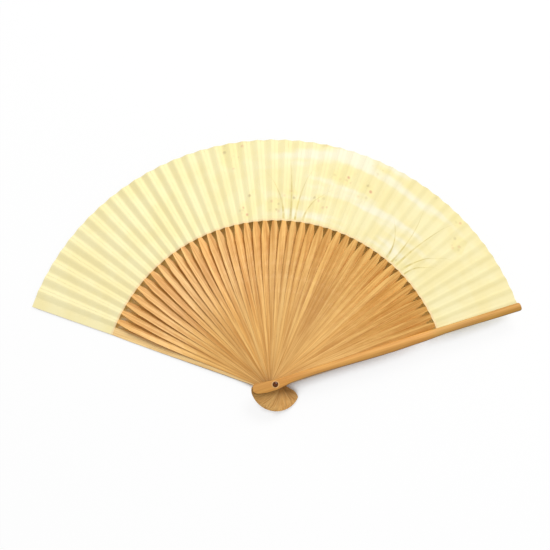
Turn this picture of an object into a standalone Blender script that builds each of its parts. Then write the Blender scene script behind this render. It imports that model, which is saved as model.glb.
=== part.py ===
"""A folding fan of bamboo and paper, open and lying on its back guard.

Two guards and 43 thin ribs turn on one rivet. They lie on each other like a spiral stair, the
back guard lowest and on the left, the front guard highest and on the right. Each rib twists
along its length and ends in a thin tongue, which lies between the two plies of a pleated leaf.

The origin is on the rivet's axis, in the plane of the back guard's outer face. +Z runs along the
rivet, and +Y from the rivet to the middle of the leaf. Lengths are in metres.
"""

import math

import bmesh
import bpy
from mathutils import Matrix, Vector

# How the fan opens. The pleats stand wider at the left than at the right, which turns the middle
# ribs clockwise by the uneven angle
rib_count = 43
opening_angle = math.radians(142.0)
uneven_angle = math.radians(2.4)

# The stack on the rivet
rib_thickness = 0.00020
tongue_thickness = 0.00011
running_gap = 0.00006
guard_head_thickness = 0.0026
guard_leaf_thickness = 0.0012

# The leaf, two plies folded into one pleat a rib. Its first strip covers the back guard, and its
# last one stays within the front guard
leaf_inner_radius = 0.126
leaf_outer_radius = 0.189
pleat_height = 0.0023
leaf_ply_thickness = 0.00010
leaf_first_inner_offset = 0.0034
leaf_first_outer_offset = 0.0039
leaf_last_offset = 0.0019

# All sticks seen from above. Left and right are the distances of a stick's two edges from the
# line through the rivet, looking along the stick from the rivet
stick_tail_left = 0.0050
stick_tail_right = 0.0043
stick_pivot_left = 0.0035
stick_pivot_right = 0.0041
stick_heel_radius = 0.012
stick_heel_left = 0.0033
stick_heel_right = 0.0022
stick_waist_radius = 0.030
stick_waist_left = 0.0034
stick_waist_right = 0.00195
stick_middle_radius = 0.092
stick_middle_right = 0.0035

# A tail's places as shares of its reach, and of its widest left and right
tail_along_shares = (1.0, 0.975, 0.93, 0.85, 0.72, 0.45)
tail_left_shares = (0.12, 0.50, 0.90, 1.0, 1.0, 0.86)
tail_right_shares = (0.07, 0.21, 0.44, 0.64, 0.77, 0.95)

# A rib
rib_tail_reach = 0.0183
rib_middle_left = 0.0044
rib_shoulder_setback = 0.0120
rib_shoulder_left = 0.0038
rib_shoulder_right = 0.0033
rib_neck_setback = 0.0055
rib_neck_left = 0.0028
rib_neck_right = 0.00285
rib_leaf_edge_left = 0.00185
rib_leaf_edge_right = 0.0015
tongue_root_depth = 0.0045
tongue_root_width = 0.0024
tongue_tip_width = 0.0018
tongue_end_margin = 0.0045
rib_twist_start_radius = 0.045

# A guard
guard_tail_reach = 0.0170
guard_middle_left = 0.0037
guard_shoulder_left = 0.0036
guard_shoulder_right = 0.0031
guard_leaf_depth = 0.0050
guard_leaf_left = 0.0032
guard_leaf_right = 0.0023
guard_tip_width = 0.0061
front_guard_overhang = 0.0016
back_guard_setback = 0.0004
guard_corner_radius = 0.0016
guard_edge_round = 0.0005
guard_relief_start_radius = 0.034
guard_relief_setback = 0.0100

# The rivet and the washer that its end is spread over
rivet_shaft_diameter = 0.0020
rivet_clearance = 0.00008
rivet_head_diameter = 0.0042
rivet_head_height = 0.0012
washer_diameter = 0.0056
washer_thickness = 0.0005
washer_clearance = 0.00008

# How finely curves are cut into flats
corner_steps = 4
span_steps = 3
twist_steps = 6
shaft_sides = 16
bore_sides = 12
dome_steps = 5
cutter_overrun = 0.001

# Sizes that follow from those above
stick_count = rib_count + 2
pleat_angle = opening_angle / (rib_count + 1)
crease_angle = pleat_angle / 4
rib_pitch = rib_thickness + running_gap
pleat_tilt = math.atan(pleat_height / (2 * leaf_outer_radius * math.sin(crease_angle)))
guard_relief = guard_head_thickness - guard_leaf_thickness
front_guard_bottom = guard_head_thickness + running_gap + rib_count * rib_pitch
stack_height = front_guard_bottom + guard_head_thickness
bore_radius = rivet_shaft_diameter / 2 + rivet_clearance
shoulder_radius = leaf_inner_radius - rib_shoulder_setback
neck_radius = leaf_inner_radius - rib_neck_setback
tongue_root_radius = leaf_inner_radius + tongue_root_depth
rib_reach = leaf_outer_radius - tongue_end_margin
front_guard_reach = leaf_outer_radius + front_guard_overhang
back_guard_reach = leaf_outer_radius - back_guard_setback
guard_relief_end_radius = leaf_inner_radius - guard_relief_setback
guard_leaf_radius = leaf_inner_radius + guard_leaf_depth
ply_offset = tongue_thickness / 2 + running_gap


def stick_azimuth(index):
    """Direction of a stick, counted from the back guard, which is 0, to the front guard."""
    swing = uneven_angle * math.sin(math.pi * index / (rib_count + 1))
    return math.pi / 2 + opening_angle / 2 - index * pleat_angle - swing


def rib_height(index):
    """Height of the middle of a rib's thickness."""
    return guard_head_thickness + running_gap + rib_thickness / 2 + (index - 1) * rib_pitch


def ease(value, start, end):
    """0 before start, 1 after end, and a smooth step between them."""
    share = min(1.0, max(0.0, (value - start) / (end - start)))
    return share * share * (3 - 2 * share)


# Materials

def make_material(name, colour, roughness, metallic=0.0):
    material = bpy.data.materials.new(name)
    material.use_nodes = True
    shader = material.node_tree.nodes["Principled BSDF"]
    shader.inputs["Base Color"].default_value = (*colour, 1.0)
    shader.inputs["Roughness"].default_value = roughness
    shader.inputs["Metallic"].default_value = metallic
    material.diffuse_color = (*colour, 1.0)
    return material


# Objects and collections

def clear_scene():
    for old in list(bpy.data.objects):
        bpy.data.objects.remove(old, do_unlink=True)


def make_collection(name):
    collection = bpy.data.collections.new(name)
    bpy.context.scene.collection.children.link(collection)
    return collection


def add_object(name, mesh, collection, material=None):
    thing = bpy.data.objects.new(name, mesh)
    collection.objects.link(thing)
    if material:
        mesh.materials.append(material)
    return thing


def make_cutter(name, radius, low, high, sides, cutters):
    """A cylinder on the rivet's axis that is cut out of other pieces."""
    bm = bmesh.new()
    bmesh.ops.create_cone(
        bm, cap_ends=True, segments=sides, radius1=radius, radius2=radius, depth=high - low,
        matrix=Matrix.Translation((0, 0, (low + high) / 2)),
    )
    mesh = bpy.data.meshes.new(name)
    bm.to_mesh(mesh)
    bm.free()
    cutter = add_object(name, mesh, cutters)
    cutter.hide_render = True
    cutter.display_type = "WIRE"
    return cutter


def cut(thing, cutter):
    modifier = thing.modifiers.new(cutter.name, "BOOLEAN")
    modifier.operation = "DIFFERENCE"
    modifier.solver = "EXACT"
    modifier.object = cutter


def loft(name, sections):
    """A closed mesh through rings of points, which all have as many points as the first."""
    bm = bmesh.new()
    rings = [[bm.verts.new(point) for point in section] for section in sections]
    count = len(rings[0])
    for here, there in zip(rings, rings[1:]):
        for i in range(count):
            j = (i + 1) % count
            bm.faces.new((here[i], there[i], there[j], here[j]))
    bm.faces.new(rings[0])
    bm.faces.new(list(reversed(rings[-1])))
    bmesh.ops.recalc_face_normals(bm, faces=bm.faces)
    mesh = bpy.data.meshes.new(name)
    bm.to_mesh(mesh)
    bm.free()
    return mesh


# The plan of a stick: places along it, each with its left and its right there

def stick_plan(tail_reach, places):
    """A stick's tail, pivot, heel and waist, then the given places, with smooth runs between them.
    Each place has its radius, left, right and how many steps the run to it has."""
    plan = [
        (-tail_reach * along, stick_tail_left * left, stick_tail_right * right)
        for along, left, right in zip(tail_along_shares, tail_left_shares, tail_right_shares)
    ]
    head = [
        (0, stick_pivot_left, stick_pivot_right, span_steps),
        (stick_heel_radius, stick_heel_left, stick_heel_right, 2),
        (stick_waist_radius, stick_waist_left, stick_waist_right, 2),
    ]
    before = plan[-1]
    for radius, left, right, steps in head + places:
        for i in range(1, steps + 1):
            along = before[0] + (radius - before[0]) * i / steps
            share = ease(along, before[0], radius)
            plan.append(
                (along, before[1] + (left - before[1]) * share, before[2] + (right - before[2]) * share)
            )
        before = (radius, left, right)
    return plan


# Ribs

def rib_twist(radius):
    """A rib is flat at the rivet and lies at the pleat's tilt where it enters the leaf."""
    return pleat_tilt * ease(radius, rib_twist_start_radius, tongue_root_radius)


def rib_section(radius, left, right):
    """The four corners of a rib, turned about its own long axis."""
    thinning = ease(radius, shoulder_radius, leaf_inner_radius)
    thick = rib_thickness + (tongue_thickness - rib_thickness) * thinning
    turn = Matrix.Rotation(rib_twist(radius), 3, "X")
    corners = ((-right, -thick / 2), (left, -thick / 2), (left, thick / 2), (-right, thick / 2))
    return [turn @ Vector((0, y, z)) + Vector((radius, 0, 0)) for y, z in corners]


def make_rib_mesh(parts, cutters):
    plan = stick_plan(
        rib_tail_reach,
        [
            (stick_middle_radius, rib_middle_left, stick_middle_right, twist_steps),
            (shoulder_radius, rib_shoulder_left, rib_shoulder_right, span_steps),
            (neck_radius, rib_neck_left, rib_neck_right, 1),
            (leaf_inner_radius, rib_leaf_edge_left, rib_leaf_edge_right, 1),
            (tongue_root_radius, tongue_root_width / 2, tongue_root_width / 2, 1),
            (rib_reach, tongue_tip_width / 2, tongue_tip_width / 2, 1),
        ],
    )
    blank = add_object("rib_blank", loft("rib_blank", [rib_section(*p) for p in plan]), parts)
    bore = make_cutter(
        "rib_bore", bore_radius, -cutter_overrun, cutter_overrun, bore_sides, cutters
    )
    cut(blank, bore)
    bpy.context.view_layer.update()
    seen = blank.evaluated_get(bpy.context.evaluated_depsgraph_get())
    mesh = bpy.data.meshes.new_from_object(seen)
    mesh.name = "rib"
    bpy.data.objects.remove(blank)
    bpy.data.objects.remove(bore)
    return mesh


def make_ribs(parts, cutters, pivot, material):
    mesh = make_rib_mesh(parts, cutters)
    mesh.materials.append(material)
    for index in range(1, rib_count + 1):
        rib = add_object(f"rib_{index:02d}", mesh, parts)
        rib.location = (0, 0, rib_height(index))
        rib.rotation_euler = (0, 0, stick_azimuth(index))
        rib.parent = pivot


# Guards

def guard_section(radius, left, right):
    """A guard's cross section: its outer face is at height 0 and has rounded edges."""
    relief = guard_relief * ease(radius, guard_relief_start_radius, guard_relief_end_radius)
    inner = -(guard_head_thickness - relief)
    edge = min(guard_edge_round, (left + right) / 4)
    drop = edge * (1 - math.sin(math.pi / 4))
    profile = [
        (-right, inner),
        (left, inner),
        (left, -edge),
        (left - drop, -drop),
        (left - edge, 0),
        (edge - right, 0),
        (drop - right, -drop),
        (-right, -edge),
    ]
    return [Vector((radius, y, z)) for y, z in profile]


def guard_plan(reach):
    corner_x = reach - guard_corner_radius
    corner_y = guard_tip_width / 2 - guard_corner_radius
    plan = stick_plan(
        guard_tail_reach,
        [
            (stick_middle_radius, guard_middle_left, stick_middle_right, twist_steps),
            (guard_relief_end_radius, guard_shoulder_left, guard_shoulder_right, 2),
            (guard_leaf_radius, guard_leaf_left, guard_leaf_right, 2),
            (corner_x, guard_tip_width / 2, guard_tip_width / 2, span_steps),
        ],
    )
    for i in range(1, corner_steps + 1):
        turn = math.pi / 2 * i / corner_steps
        half = corner_y + guard_corner_radius * math.cos(turn)
        plan.append((corner_x + guard_corner_radius * math.sin(turn), half, half))
    return plan


def make_guards(parts, cutters, pivot, material):
    """The front guard, face up, and its mirror image turned over as the back guard, so that both
    have the same plan when the fan is closed."""
    plan = guard_plan(front_guard_reach)
    mesh = loft("front_guard", [guard_section(*place) for place in plan])
    front = add_object("front_guard", mesh, parts, material)
    front.location = (0, 0, stack_height)
    front.rotation_euler = (0, 0, stick_azimuth(stick_count - 1))
    front.parent = pivot
    plan = guard_plan(back_guard_reach)
    mesh = loft("back_guard", [guard_section(r, right, left) for r, left, right in plan])
    back = add_object("back_guard", mesh, parts, material)
    back.rotation_euler = (math.pi, 0, stick_azimuth(0))
    bore = make_cutter(
        "guard_bore", bore_radius, -cutter_overrun, stack_height + cutter_overrun,
        bore_sides, cutters,
    )
    recess = make_cutter(
        "washer_recess_bore", washer_diameter / 2 + washer_clearance, -cutter_overrun,
        washer_thickness + running_gap, shaft_sides, cutters,
    )
    cut(front, bore)
    cut(back, bore)
    cut(back, recess)


# The rivet

def turn_profile(name, profile, parts, material):
    """A turned piece: points of its outer side, top to bottom, spun about the rivet's axis."""
    bm = bmesh.new()
    points = [bm.verts.new((x, 0, z)) for x, z in profile]
    for here, there in zip(points, points[1:]):
        bm.edges.new((here, there))
    mesh = bpy.data.meshes.new(name)
    bm.to_mesh(mesh)
    bm.free()
    thing = add_object(name, mesh, parts, material)
    screw = thing.modifiers.new("spin", "SCREW")
    screw.steps = shaft_sides
    screw.render_steps = shaft_sides
    screw.use_merge_vertices = True
    screw.merge_threshold = rivet_clearance / 10
    screw.use_smooth_shade = False
    return thing


def make_rivet(parts, material):
    seat = stack_height + running_gap
    head_radius = rivet_head_diameter / 2
    shaft_radius = rivet_shaft_diameter / 2
    rim = rivet_head_height / 4
    profile = []
    for i in range(dome_steps + 1):
        turn = math.pi / 2 * i / dome_steps
        height = seat + rim + (rivet_head_height - rim) * math.cos(turn)
        profile.append((head_radius * math.sin(turn), height))
    profile += [(head_radius, seat), (shaft_radius, seat), (shaft_radius, 0), (0, 0)]
    turn_profile("rivet_pin", profile, parts, material)

    inner = shaft_radius + washer_clearance
    outer = washer_diameter / 2
    high = washer_thickness
    ring = [(inner, high), (outer, high), (outer, 0), (inner, 0), (inner, high)]
    turn_profile("rivet_washer", ring, parts, material)


# The leaf

def leaf_lines():
    """The leaf's creases and ends from left to right, each as a function of the radius."""
    rise = math.sin(crease_angle) * math.tan(pleat_tilt)
    seat = running_gap + leaf_ply_thickness + ply_offset
    low = guard_leaf_thickness + seat
    high = front_guard_bottom + guard_relief - seat

    def crease(azimuth, height, slope=0.0):
        return lambda r: Vector((r * math.cos(azimuth), r * math.sin(azimuth), height + slope * r))

    def edge(azimuth, height, inner, outer):
        turn = Matrix.Rotation(azimuth, 3, "Z")
        widening = (outer - inner) / (leaf_outer_radius - leaf_inner_radius)
        return lambda r: turn @ Vector((r, inner + widening * (r - leaf_inner_radius), height))

    first, last = stick_azimuth(0), stick_azimuth(stick_count - 1)
    left_end = edge(first, low, leaf_first_inner_offset, leaf_first_outer_offset)
    right_end = edge(last, high, -leaf_last_offset, -leaf_last_offset)
    lines = [left_end, crease(first - crease_angle, low)]
    for index in range(1, rib_count + 1):
        azimuth, height = stick_azimuth(index), rib_height(index)
        lines.append(crease(azimuth + crease_angle, height, rise))
        lines.append(crease(azimuth - crease_angle, height, -rise))
    lines += [crease(last + crease_angle, high), right_end]
    return lines


def make_ply(name, side, lines, parts, material):
    """One ply: a strip between the leaf's two radii, folded at the creases, above or below the
    tongues, which side says with 1 or -1."""
    bm = bmesh.new()
    bmesh.ops.create_grid(bm, x_segments=len(lines) - 1, y_segments=1, size=leaf_outer_radius)
    rows = sorted(bm.verts, key=lambda v: (round(v.co.y / leaf_outer_radius), v.co.x))
    offset = Vector((0, 0, side * ply_offset / math.cos(pleat_tilt)))
    for i, line in enumerate(lines):
        rows[i].co = line(leaf_inner_radius) + offset
        rows[i + len(lines)].co = line(leaf_outer_radius) + offset
    bmesh.ops.recalc_face_normals(bm, faces=bm.faces)
    if sum(face.normal.z for face in bm.faces) < 0:
        bmesh.ops.reverse_faces(bm, faces=bm.faces)
    mesh = bpy.data.meshes.new(name)
    bm.to_mesh(mesh)
    bm.free()
    ply = add_object(name, mesh, parts, material)
    solid = ply.modifiers.new("thickness", "SOLIDIFY")
    solid.thickness = leaf_ply_thickness
    solid.offset = side
    solid.use_even_offset = True


def build():
    clear_scene()
    parts = make_collection("folding_fan")
    cutters = make_collection("cutters")
    bamboo = make_material("bamboo_rib", (0.80, 0.52, 0.26), 0.45)
    guard_bamboo = make_material("bamboo_guard", (0.76, 0.42, 0.15), 0.35)
    paper = make_material("leaf_paper", (0.96, 0.88, 0.58), 0.80)
    brown = make_material("rivet_brown", (0.10, 0.04, 0.01), 0.25)

    pivot = bpy.data.objects.new("pivot_axis", None)
    parts.objects.link(pivot)

    make_guards(parts, cutters, pivot, guard_bamboo)
    make_ribs(parts, cutters, pivot, bamboo)
    make_rivet(parts, brown)
    lines = leaf_lines()
    make_ply("leaf_front", 1, lines, parts, paper)
    make_ply("leaf_back", -1, lines, parts, paper)
    bpy.context.view_layer.update()


build()
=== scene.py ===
"""The looks of an open folding fan: bamboo sticks, a glossy rivet and a pleated paper leaf."""
import math
import random

import bpy
from mathutils import Matrix, Vector


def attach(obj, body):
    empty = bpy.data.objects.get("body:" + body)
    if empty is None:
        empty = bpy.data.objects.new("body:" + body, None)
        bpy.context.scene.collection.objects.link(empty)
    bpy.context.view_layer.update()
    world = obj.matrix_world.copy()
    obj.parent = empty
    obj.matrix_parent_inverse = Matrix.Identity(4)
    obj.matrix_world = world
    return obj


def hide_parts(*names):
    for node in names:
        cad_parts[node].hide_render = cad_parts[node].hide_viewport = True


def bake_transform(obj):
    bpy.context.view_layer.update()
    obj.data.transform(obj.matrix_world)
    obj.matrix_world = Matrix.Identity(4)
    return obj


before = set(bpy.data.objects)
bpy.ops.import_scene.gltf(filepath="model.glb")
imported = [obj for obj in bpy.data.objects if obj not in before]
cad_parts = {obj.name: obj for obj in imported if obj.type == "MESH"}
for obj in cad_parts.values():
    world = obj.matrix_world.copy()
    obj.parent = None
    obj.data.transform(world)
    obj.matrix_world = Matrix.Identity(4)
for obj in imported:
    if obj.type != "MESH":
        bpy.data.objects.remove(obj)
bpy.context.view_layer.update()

dice = random.Random(11)

# The fan's own sizes, as in the CAD source, in metres and radians
RIB_COUNT = 43
OPENING = math.radians(142.0)
UNEVEN = math.radians(2.4)
RIB_PITCH = 0.00026
FIRST_RIB_HEIGHT = 0.00276
LEAF_INNER, LEAF_OUTER = 0.126, 0.189
PLEAT_HEIGHT = 0.0023
LEAF_LOW, LEAF_HIGH = 0.001475, 0.014965
LEAF_FIRST_OFFSETS = 0.0034, 0.0039
LEAF_LAST_OFFSET = 0.0019
PAPER_THICKNESS = 0.00013
FAN_MIDDLE = Vector((0, 0.085, 0))

PLEAT_ANGLE = OPENING / (RIB_COUNT + 1)
CREASE_ANGLE = PLEAT_ANGLE / 4
CREASE_RISE = PLEAT_HEIGHT / (2 * LEAF_OUTER)
SLOPE = CREASE_RISE / math.sin(CREASE_ANGLE)
PLEAT_WIDTH = PLEAT_ANGLE * (LEAF_INNER + LEAF_OUTER) / 2

# Bamboo's grain. Each layer has a speck's length along the stick and its width, in metres, and
# the noise's detail and roughness
STREAKS = 0.060, 0.0030, 2, 0.5
FIBRES = 0.030, 0.0007, 3, 0.6
FINE_FIBRES = 0.012, 0.00022, 2, 0.6
FLECKS = 0.0035, 0.00030, 1, 0.4
DEEP_TO_PALE = 0.355, 0.645
FLECK_EDGE = 0.66, 0.78
FLECK_SHARE = 0.35
FIBRE_RELIEF = 0.000042

# Where a stick's tone changes, in metres from the rivet along it; the lighter middle is painted
# light
TAIL_TO_HEAD = -0.012, 0.012
PAINTED_LIGHT_WAIST_TO_MIDDLE = 0.050, 0.115

# The outermost stick: where its tone changes along and across it, with painted shade along its
# lower edge and a painted highlight ring round the rivet, and how much its face rounds
TAIL_TO_NECK = 0.004, 0.024
BEFORE_LEAF = 0.115, 0.130
BEFORE_TIP = 0.150, 0.172
LOWER_EDGE = -0.0025, 0.0022
LOWER_EDGE_PAINTED_SHADES = 0.95, 0.64
RIVET_HIGHLIGHT_RING = 0.0022, 0.0031
ROUND_FROM_RIVET = 0.0, 0.020
ROUNDINGS = -12.0, -45.0

# Where the leaf's look changes, in pleats from its left end
FLAT_LEFT, FLAT_MIDDLE, FLAT_RIGHT = (5, 12), (12, 17), (26, 33)
PAINTED_SHADE_RIGHT, PAINTED_SHADE_END = (24, 32), (37, 41)
MIST_START, MIST_END = (17, 25), (33, 40)
PETALS_START, PETALS_END = (13, 16), (38, 40)

# The leaf's creases, the middle and fade of the painted shade between two ribs, in pleats from the
# one at its left, the end of the warm rim, and the relief of the paper
CREASE_ROUNDING = 0.12
PAINTED_SHADE_MIDDLE = 0.64
PAINTED_SHADE_FADE = 0.05, 0.36
PAST_RIM = LEAF_INNER + 0.0008, LEAF_INNER + 0.0020
PAPER_RELIEF = 0.00002

# The painted blades of grass: root, in pleats, then bend and reach, in metres
GRASS = (
    (21.9, -0.011, 0.034), (22.6, -0.003, 0.045), (23.1, 0.007, 0.038), (23.9, 0.016, 0.027),
    (33.8, -0.015, 0.028), (34.5, -0.006, 0.041), (35.1, 0.006, 0.048), (35.9, 0.017, 0.033),
    (36.4, 0.012, 0.021),
)
BLADE_EDGE = 0.0006, 0.0016
BLADE_TAPER = 0.0011

# Clusters of petals, and the petals: spacing, then the radii where they start to fade and end
CLUSTERS = 0.019, 0.0055, 0.0095
PETALS = 0.0040, 0.0004, 0.0018
CHOSEN_SHARE = 0.75

WHITE = (1, 1, 1, 1)


def stick_azimuth(index):
    """Direction of a stick, counted from the back guard, which is 0, to the front guard."""
    swing = UNEVEN * math.sin(math.pi * index / (RIB_COUNT + 1))
    return math.pi / 2 + OPENING / 2 - index * PLEAT_ANGLE - swing


def rib_height(index):
    return FIRST_RIB_HEIGHT + (index - 1) * RIB_PITCH


def stick_body(index):
    if index == 0:
        return "back_guard"
    return f"rib_{index:02d}" if index <= RIB_COUNT else "front_guard"


def add_to_scene(name, data):
    thing = bpy.data.objects.new(name, data)
    bpy.context.scene.collection.objects.link(thing)
    return thing


def add_camera():
    """A camera nearly straight above the fan, a little to the rivet's side."""
    image_side = 550
    elevation, azimuth, roll = (math.radians(v) for v in (75.85, 6.36, 7.29))
    distance = 1.5
    focal_pixels = 2025.0
    centre = (276.52, 273.71)
    target = FAN_MIDDLE + Vector((0, 0, 0.008))
    ahead = Vector((
        math.sin(azimuth) * math.cos(elevation),
        math.cos(azimuth) * math.cos(elevation),
        -math.sin(elevation),
    ))
    right = Vector((math.cos(azimuth), -math.sin(azimuth), 0))
    above = right.cross(ahead)
    right, above = (
        math.cos(roll) * right + math.sin(roll) * above,
        math.cos(roll) * above - math.sin(roll) * right,
    )
    data = bpy.data.cameras.new("camera")
    data.sensor_width = 36
    data.lens = data.sensor_width * focal_pixels / image_side
    data.shift_x = (image_side / 2 - centre[0]) / image_side
    data.shift_y = (centre[1] - image_side / 2) / image_side
    data.clip_start, data.clip_end = 0.05, 20
    camera = add_to_scene("camera", data)
    axes = Matrix((right, above, -ahead)).transposed().to_4x4()
    camera.matrix_world = Matrix.Translation(target - ahead * distance) @ axes
    bpy.context.scene.camera = camera


# Shader nodes
class Tree:
    """A material's nodes, added one by one. Numbers and colours go on the sockets themselves."""

    def __init__(self, name):
        self.material = bpy.data.materials.new(name)
        self.material.use_nodes = True
        self.tree = self.material.node_tree
        self.shader = self.tree.nodes["Principled BSDF"]

    def add(self, kind, inputs=(), output=0, **settings):
        node = self.tree.nodes.new("ShaderNode" + kind)
        for key, value in settings.items():
            setattr(node, key, value)
        for key, value in dict(inputs).items():
            self.feed(node.inputs[key], value)
        return node.outputs[output]

    def feed(self, socket, value):
        if isinstance(value, bpy.types.NodeSocket):
            self.tree.links.new(value, socket)
        else:
            socket.default_value = value

    def math(self, operation, *values, clamp=False):
        return self.add("Math", enumerate(values), operation=operation, use_clamp=clamp)

    def times(self, first, *others):
        for other in others:
            first = self.math("MULTIPLY", first, other)
        return first

    def plus(self, first, *others):
        for other in others:
            first = self.math("ADD", first, other)
        return first

    def between(self, value, low, high, start=0.0, end=1.0):
        """value's place between low and high, mapped to the range from start to end."""
        inputs = {0: value, 1: low, 2: high, 3: start, 4: end}
        return self.add("MapRange", inputs, interpolation_type="SMOOTHSTEP")

    def window(self, value, rise, fall):
        """1 after the rise and before the fall, and 0 outside them."""
        return self.times(self.between(value, *rise), self.between(value, *fall, 1.0, 0.0))

    def mix(self, share, first, second, blend="MIX"):
        inputs = {0: share, 6: first, 7: second}
        return self.add("Mix", inputs, 2, data_type="RGBA", blend_type=blend)

    def shade(self, colour, tone):
        """The colour times a number."""
        return self.mix(1.0, colour, self.join(tone, tone, tone), "MULTIPLY")

    def noise(self, vector, scale, detail=2.0, roughness=0.5, distortion=0.0):
        inputs = {
            "Vector": vector, "Scale": scale, "Detail": detail, "Roughness": roughness,
            "Distortion": distortion,
        }
        return self.add("TexNoise", inputs)

    def place(self):
        """The point in the part's own frame, in metres."""
        return self.add("TexCoord", output="Object")

    def upwards(self, normal="True Normal"):
        """The height of the surface's normal."""
        return self.split(self.add("NewGeometry", output=normal))[2]

    def length(self, vector):
        return self.add("VectorMath", {0: vector}, "Value", operation="LENGTH")

    def split(self, vector):
        return self.add("SeparateXYZ", {0: vector}).node.outputs

    def join(self, x, y, z=0.0):
        return self.add("CombineXYZ", {0: x, 1: y, 2: z})

    def bump(self, height, strength=1.0, distance=1.0):
        return self.add("Bump", {"Strength": strength, "Distance": distance, "Height": height})

    def finish(self, **inputs):
        for key, value in inputs.items():
            self.feed(self.shader.inputs[key.replace("_", " ")], value)
        return self.material


def rgb(red, green, blue):
    """A colour as a screen shows it, 0 to 255, made linear."""
    linear = [
        c / 12.92 if c <= 0.04045 else ((c + 0.055) / 1.055) ** 2.4
        for c in (red / 255, green / 255, blue / 255)
    ]
    return (*linear, 1.0)


def bamboo(name, azimuth, pale, deep, tone, seed, outermost=False):
    """Split bamboo whose fibres run along a stick at that azimuth. Its side faces are darkened as
    painted shade, and it lightens towards the leaf as painted light. The outermost stick's face is
    a little rounded, darker along its lower edge as painted shade and towards its tip, and pale
    round the rivet as a painted highlight."""
    t = Tree(name)
    turn = {"Vector": t.place(), "Angle": -azimuth}
    along, across, up = t.split(t.add("VectorRotate", turn, rotation_type="Z_AXIS"))[:3]

    def layer(length, width, detail, roughness):
        stretched = t.join(
            t.math("MULTIPLY_ADD", along, 1 / length, seed),
            t.times(across, 1 / width),
            t.times(up, 1 / width),
        )
        return t.noise(stretched, scale=1, detail=detail, roughness=roughness)

    streaks, fibres, fine = (layer(*grain) for grain in (STREAKS, FIBRES, FINE_FIBRES))
    mixed = t.plus(t.times(streaks, 0.45), t.times(fibres, 0.40), t.times(fine, 0.15))
    colour = t.mix(t.between(mixed, *DEEP_TO_PALE), deep, pale)
    flecks = t.between(layer(*FLECKS), *FLECK_EDGE)
    colour = t.mix(t.times(flecks, FLECK_SHARE), colour, rgb(150, 95, 40))
    # The side faces are darkened: painted shade
    painted_shade_on_sides = t.between(t.math("ABSOLUTE", t.upwards()), 0.2, 0.8, 0.50, 1.0)
    # Darker at the tail, lighter towards the leaf as painted light, and painted shade on the sides
    tones_with_painted_light_and_shade = t.times(
        t.between(along, *TAIL_TO_HEAD, 0.84 * tone, 0.97 * tone),
        t.between(along, *PAINTED_LIGHT_WAIST_TO_MIDDLE, 1.0, 1.08),
        painted_shade_on_sides,
    )
    colour = t.shade(colour, tones_with_painted_light_and_shade)
    height = t.times(t.plus(t.times(fibres, 0.6), t.times(fine, 0.4)), FIBRE_RELIEF)
    if outermost:
        # Painted shade along the lower edge, fainter near the tail
        lower_edge_painted_shade = t.between(along, *TAIL_TO_NECK, *LOWER_EDGE_PAINTED_SHADES)
        colour = t.shade(colour, t.between(across, *LOWER_EDGE, lower_edge_painted_shade, 1.0))
        colour = t.mix(t.between(along, *BEFORE_LEAF), colour, (0.87, 0.95, 0.97, 1), "MULTIPLY")
        colour = t.mix(t.between(along, *BEFORE_TIP), colour, (1.0, 0.97, 0.64, 1), "MULTIPLY")
        # A pale ring round the rivet: a painted highlight
        outside = t.between(t.length(t.join(along, across)), *RIVET_HIGHLIGHT_RING)
        colour = t.mix(outside, rgb(238, 190, 122), colour)
        rounding = t.between(along, *ROUND_FROM_RIVET, *ROUNDINGS)
        height = t.math("MULTIPLY_ADD", t.times(across, across), rounding, height)
    return t.finish(
        Base_Color=colour,
        Roughness=t.between(mixed, 0.3, 0.7, 0.52, 0.38),
        Normal=t.bump(height),
    )


def glossy_brown():
    t = Tree("rivet_brown")
    clouds = t.noise(t.place(), scale=900, detail=3, roughness=0.6)
    colour = t.mix(t.between(clouds, 0.35, 0.65), rgb(72, 32, 0), rgb(108, 54, 4))
    return t.finish(
        Base_Color=colour,
        Roughness=t.between(clouds, 0.3, 0.7, 0.12, 0.24),
        Specular_IOR_Level=0.3,
        Normal=t.bump(clouds, strength=0.1, distance=0.0001),
    )


def soft_pleats(t, pleats, radius):
    """Bump heights that round the creases beside the ribs and let the pleats look flatter at the
    leaf's left end and towards its right. The paper's slope across the pleats is SLOPE, down on
    a rib and up between two ribs."""
    place = t.math("FRACT", pleats)
    left, right = (
        t.math("DIVIDE", t.math("SUBTRACT", place, start), CREASE_ROUNDING, clamp=True)
        for start in (0.25, 0.75 - CREASE_ROUNDING)
    )
    bend = t.math("SUBTRACT", left, t.times(left, left, 0.5))
    bend = t.math("MULTIPLY_ADD", t.times(right, right), 0.5, bend)
    bend = t.times(bend, t.between(pleats, *FLAT_RIGHT, -2 * CREASE_ROUNDING, 0.0))
    wave = t.math("PINGPONG", t.plus(pleats, 0.25), 0.5)
    flatness = t.plus(
        t.between(pleats, *FLAT_LEFT, 0.32, 0.0),
        t.between(pleats, *FLAT_MIDDLE, 0.0, 0.25),
        t.between(pleats, *FLAT_RIGHT, 0.0, 0.75),
    )
    height = t.math("MULTIPLY_ADD", wave, flatness, bend)
    side = t.math("SIGN", t.upwards("Normal"))
    return t.times(height, t.times(radius, SLOPE * PLEAT_ANGLE), side)


def grass(t, x, radius):
    """Where the painted blades of grass lie: each bends away from its root on the inner edge."""
    cover = 0.0
    for root, bend, reach in GRASS:
        share = t.math("MULTIPLY_ADD", radius, 1 / reach, -LEAF_INNER / reach)
        middle = t.math("MULTIPLY_ADD", t.times(share, share), bend, root * PLEAT_WIDTH)
        away = t.math("ABSOLUTE", t.math("SUBTRACT", x, middle))
        edge = t.math("MULTIPLY_ADD", share, BLADE_TAPER, away)
        cover = t.math("MAXIMUM", t.between(edge, *BLADE_EDGE, 1.0, 0.0), cover)
    return cover


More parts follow.
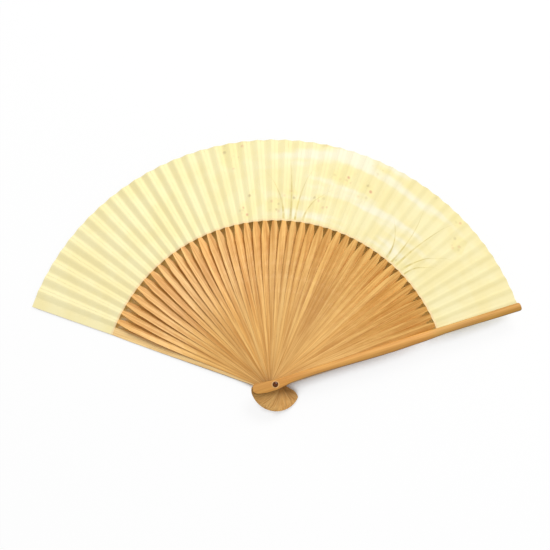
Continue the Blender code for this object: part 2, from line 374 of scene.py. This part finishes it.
def scattered(t, place, spacing, low, high):
    """Soft dots, one in each chosen cell, and two random numbers of the cell."""
    cells = t.add("TexVoronoi", {"Vector": place, "Scale": 1 / spacing}, "Color")
    near = t.times(cells.node.outputs["Distance"], spacing)
    pick, *numbers = t.split(cells)
    chosen = t.between(pick, 1 - CHOSEN_SHARE, 1.02 - CHOSEN_SHARE)
    return t.times(t.between(near, low, high, 1.0, 0.0), chosen), numbers


def painting(t, place, pleats, radius, colour):
    """A faint painting of mist, grass and drifting petals on the paper."""
    x = t.split(place)[0]
    banks = t.noise(t.join(t.times(x, 14), t.times(radius, 70)), scale=1)
    mist = t.times(t.between(banks, 0.48, 0.66), t.window(pleats, MIST_START, MIST_END))
    colour = t.mix(t.times(mist, 0.75), colour, rgb(255, 250, 226))
    strokes = t.between(t.noise(place, scale=160), 0.35, 0.65, 0.40, 0.90)
    colour = t.mix(t.times(grass(t, x, radius), strokes), colour, rgb(220, 200, 124))
    clusters = t.times(
        scattered(t, place, *CLUSTERS)[0], t.window(pleats, PETALS_START, PETALS_END)
    )
    colour = t.mix(t.times(clusters, 0.28), colour, rgb(250, 234, 152))
    petals, (hue, weight) = scattered(t, place, *PETALS)
    petals = t.times(petals, clusters, t.between(weight, 0, 1, 0.3, 0.8))
    tint = t.mix(t.between(hue, 0.4, 0.6), rgb(226, 164, 132), rgb(206, 188, 136))
    return t.mix(petals, colour, tint)


def paper():
    """Pale yellow paper. The map holds the pleats from the left and the radius, in metres."""
    t = Tree("leaf_paper")
    pleats, radius = t.split(t.add("UVMap", uv_map="leaf_plan"))[:2]
    place = t.join(t.times(pleats, PLEAT_WIDTH), radius)
    clouds = t.noise(place, scale=45, detail=3, roughness=0.55)
    tooth = t.noise(place, scale=2600, detail=3, roughness=0.6)
    fibres = t.noise(place, scale=420, detail=4, roughness=0.65, distortion=2.5)
    colour = t.mix(t.between(clouds, 0.35, 0.65), rgb(252, 238, 178), rgb(254, 243, 190))
    colour = t.mix(t.between(fibres, 0.60, 0.72, 0, 0.25), colour, rgb(236, 222, 160))
    painted = painting(t, place, pleats, radius, colour)
    colour = t.mix(t.between(t.upwards(), -0.1, 0.1), colour, painted)
    # Between two ribs the paper is painted a little darker towards the leaf's right: painted shade
    shifted = t.math("FRACT", t.plus(pleats, 1.5 - PAINTED_SHADE_MIDDLE))
    aside = t.math("ABSOLUTE", t.math("SUBTRACT", shifted, 0.5))
    painted_shade_between_ribs = t.plus(
        t.between(pleats, *PAINTED_SHADE_RIGHT, 0, 0.30), t.between(pleats, *PAINTED_SHADE_END, 0, 0.17)
    )
    painted_shade_between_ribs = t.times(painted_shade_between_ribs, t.between(aside, *PAINTED_SHADE_FADE, 1.0, 0.0))
    colour = t.mix(painted_shade_between_ribs, colour, rgb(228, 225, 208), "MULTIPLY")
    colour = t.mix(t.between(radius, *PAST_RIM), rgb(252, 226, 172), colour)
    grain = t.times(t.plus(tooth, fibres), PAPER_RELIEF)
    return t.finish(
        Base_Color=colour,
        Roughness=t.between(tooth, 0.3, 0.7, 0.70, 0.88),
        Normal=t.bump(t.plus(grain, soft_pleats(t, pleats, radius))),
    )


def dress(node_name, material):
    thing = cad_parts[node_name]
    thing.data.materials.clear()
    thing.data.materials.append(material)


def dress_sticks():
    """Each rib has its own tone and warmth, and the ribs at the right are more alike and darker as
    painted shade.
    """
    first_at_right, ribs_to_full = 20, 10
    alike, darker = 0.4, 0.045
    for index in range(1, RIB_COUNT + 1):
        right = min(max((index - first_at_right) / ribs_to_full, 0), 1)
        # Ribs towards the right are darkened: painted shade
        tone = 1 + dice.uniform(-0.07, 0.05) * (1 - alike * right) - darker * right
        warm = dice.uniform(-6, 6)
        name = stick_body(index)
        dress(name, bamboo(
            name + "_bamboo", stick_azimuth(index), rgb(252, 198 - warm / 2, 111 - warm),
            rgb(206, 141 - warm / 2, 55 - warm), tone, seed=dice.uniform(0, 50),
        ))
    dress("back_guard", bamboo(
        "back_guard_bamboo", stick_azimuth(0), rgb(252, 218, 152), rgb(220, 170, 98), tone=1.0,
        seed=71.0,
    ))
    dress("front_guard", bamboo(
        "front_guard_bamboo", stick_azimuth(RIB_COUNT + 1), rgb(240, 175, 78), rgb(208, 137, 48),
        tone=1.0, seed=83.0, outermost=True,
    ))
    brown = glossy_brown()
    dress("rivet_pin", brown)
    dress("rivet_washer", brown)


# The leaf
class Line:
    """A crease of the leaf, on the left (-1) or right (1) of a stick: straight, from the rivet's
    axis outwards, at a height and slope. The leaf's two ends are lines along a stick (0), moved
    to its left by one distance at the leaf's inner edge and by another at the outer edge."""

    def __init__(self, index, side, height, slope, inner=0.0, outer=0.0):
        azimuth = stick_azimuth(index) - side * CREASE_ANGLE
        left = Vector((-math.sin(azimuth), math.cos(azimuth), 0))
        widening = (outer - inner) / (LEAF_OUTER - LEAF_INNER)
        self.pleats, self.height = index + side / 4, height
        self.direction = Vector((math.cos(azimuth), math.sin(azimuth), slope)) + left * widening
        self.offset = left * (inner - widening * LEAF_INNER)

    def at(self, radius):
        return self.direction * radius + self.offset + Vector((0, 0, self.height))


def leaf_creases():
    """For each stick, the crease on its left and the one on its right."""
    pairs = [(Line(0, 0, LEAF_LOW, 0, *LEAF_FIRST_OFFSETS), Line(0, 1, LEAF_LOW, 0))]
    for index in range(1, RIB_COUNT + 1):
        height = rib_height(index)
        pairs.append((Line(index, -1, height, CREASE_RISE), Line(index, 1, height, -CREASE_RISE)))
    last = RIB_COUNT + 1
    end = Line(last, 0, LEAF_HIGH, 0, -LEAF_LAST_OFFSET, -LEAF_LAST_OFFSET)
    pairs.append((Line(last, -1, LEAF_HIGH, 0), end))
    return pairs


def leaf_panel(name, left, right, material):
    """A thin flat panel of the leaf between two creases."""
    rows = 4
    radii = [LEAF_INNER + (LEAF_OUTER - LEAF_INNER) * i / rows for i in range(rows + 1)]
    points = [line.at(r) for r in radii for line in (left, right)]
    plan = [(line.pleats, r) for r in radii for line in (left, right)]
    faces = [(2 * i, 2 * i + 1, 2 * i + 3, 2 * i + 2) for i in range(rows)]
    mesh = bpy.data.meshes.new(name)
    mesh.from_pydata(points, [], faces)
    layer = mesh.uv_layers.new(name="leaf_plan")
    for corner in mesh.loops:
        layer.data[corner.index].uv = plan[corner.vertex_index]
    mesh.materials.append(material)
    panel = add_to_scene(name, mesh)
    solid = panel.modifiers.new("thickness", "SOLIDIFY")
    solid.thickness = PAPER_THICKNESS
    solid.offset = 0
    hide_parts("leaf_front", "leaf_back")
    return panel


def eased_back(share):
    """The number whose smooth step 3x2 - 2x3 is share."""
    return 0.5 - math.sin(math.asin(1 - 2 * share) / 3)


def fold_between(panel, right_of, left_of, index):
    """Works out how far the panel from stick index to the next would turn at its left crease, as a
    share of the next stick's turn, and its slope between the two creases, and bakes its placement
    into its mesh."""
    turns = [stick_azimuth(0) - stick_azimuth(i) for i in (index, index + 1)]
    low = eased_back(turns[0] / turns[1])
    normal = right_of.direction.cross(left_of.direction)
    climb = left_of.height - right_of.height
    slope = normal * ((1 - low) / (normal.z * climb))
    step = slope / slope.length_squared
    start = right_of.at(LEAF_OUTER) - step * low
    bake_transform(panel)


def make_leaf():
    material = paper()
    pairs = leaf_creases()
    for index, (left, right) in enumerate(pairs):
        strip = leaf_panel(f"leaf_on_{stick_body(index)}", left, right, material)
        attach(strip, stick_body(index))
    for index in range(RIB_COUNT + 1):
        left, right = pairs[index][1], pairs[index + 1][0]
        fold = leaf_panel(f"leaf_fold_{index + 1:02d}", left, right, material)
        fold_between(fold, left, right, index)


# Floor and light
def floor_material():
    """Pale floor that shows white to the camera and in reflections where it lies open. Where the
    ribs cover it closely it is tinted brown as painted shade and stays in shadow, so the gaps
    between them look brown."""
    sector_edge = OPENING / 2 - 0.02, OPENING / 2 + 0.01
    leaf_fade = LEAF_INNER, LEAF_OUTER - 0.015
    occlusion_reach = 0.05
    painted_shade_to_plain, dark_to_white = (0.44, 0.66), (0.42, 0.62)
    darker_under_ribs = 0.22
    white_shares = 0.05, 0.88
    t = Tree("floor")
    place = t.place()
    grain = t.noise(place, scale=8)
    colour = t.mix(t.between(grain, 0.3, 0.7), (0.97, 0.97, 0.97, 1), (0.99, 0.99, 0.99, 1))
    x, y = t.split(place)[:2]
    aside = t.math("ABSOLUTE", t.math("ARCTAN2", x, y))
    under_ribs = t.times(
        t.between(aside, *sector_edge, 1.0, 0.0), t.between(t.length(place), *leaf_fade, 1.0, 0.0)
    )
    openness = t.add("AmbientOcclusion", {"Distance": occlusion_reach}, "AO", samples=8)
    # A brown painted shade where the ribs cover the floor closely
    painted_shade_share = t.times(under_ribs, t.between(openness, *painted_shade_to_plain, 1.0, 0.0))
    tint = t.mix(painted_shade_share, WHITE, (1.0, 0.69, 0.20, 1))
    t.finish(Base_Color=t.mix(1.0, colour, tint, "MULTIPLY"), Roughness=0.9)
    rays = t.add("LightPath").node.outputs
    seen = t.plus(rays["Is Camera Ray"], rays["Is Glossy Ray"])
    seen = t.math("ADD", seen, rays["Is Transmission Ray"], clamp=True)
    openness = t.math("MULTIPLY_ADD", under_ribs, -darker_under_ribs, openness)
    share = t.times(seen, t.between(openness, *dark_to_white, *white_shares))
    white = t.add("Emission", {"Color": tint, "Strength": 1.0})
    surface = t.add("MixShader", {0: share, 1: t.shader.outputs[0], 2: white})
    t.feed(t.tree.nodes["Material Output"].inputs["Surface"], surface)
    return t.material


def add_floor():
    side, drop = 4.0, 0.00004
    corners = [(x * side, y * side, -drop) for x, y in ((-1, -1), (1, -1), (1, 1), (-1, 1))]
    mesh = bpy.data.meshes.new("floor")
    mesh.from_pydata(corners, [], [(0, 1, 2, 3)])
    mesh.materials.append(floor_material())
    floor = add_to_scene("floor", mesh)


def add_lamp(name, azimuth, elevation, distance, size, power):
    """A round soft lamp that points at the fan's middle."""
    data = bpy.data.lights.new(name, "AREA")
    data.shape = "DISK"
    data.size, data.energy = size, power
    lamp = add_to_scene(name, data)
    a, e = math.radians(azimuth), math.radians(elevation)
    away = Vector((math.cos(a) * math.cos(e), math.sin(a) * math.cos(e), math.sin(e)))
    lamp.location = FAN_MIDDLE + away * distance
    lamp.rotation_euler = away.to_track_quat("Z", "Y").to_euler()


def add_world(strength):
    world = bpy.data.worlds.new("studio")
    world.use_nodes = True
    sky = world.node_tree.nodes["Background"]
    sky.inputs["Color"].default_value = WHITE
    sky.inputs["Strength"].default_value = strength
    bpy.context.scene.world = world


add_camera()
dress_sticks()
make_leaf()
add_floor()
add_lamp("key", azimuth=60, elevation=50, distance=1.6, size=0.9, power=15.8)
add_world(strength=0.565)
bpy.context.scene.view_settings.view_transform = "Standard"
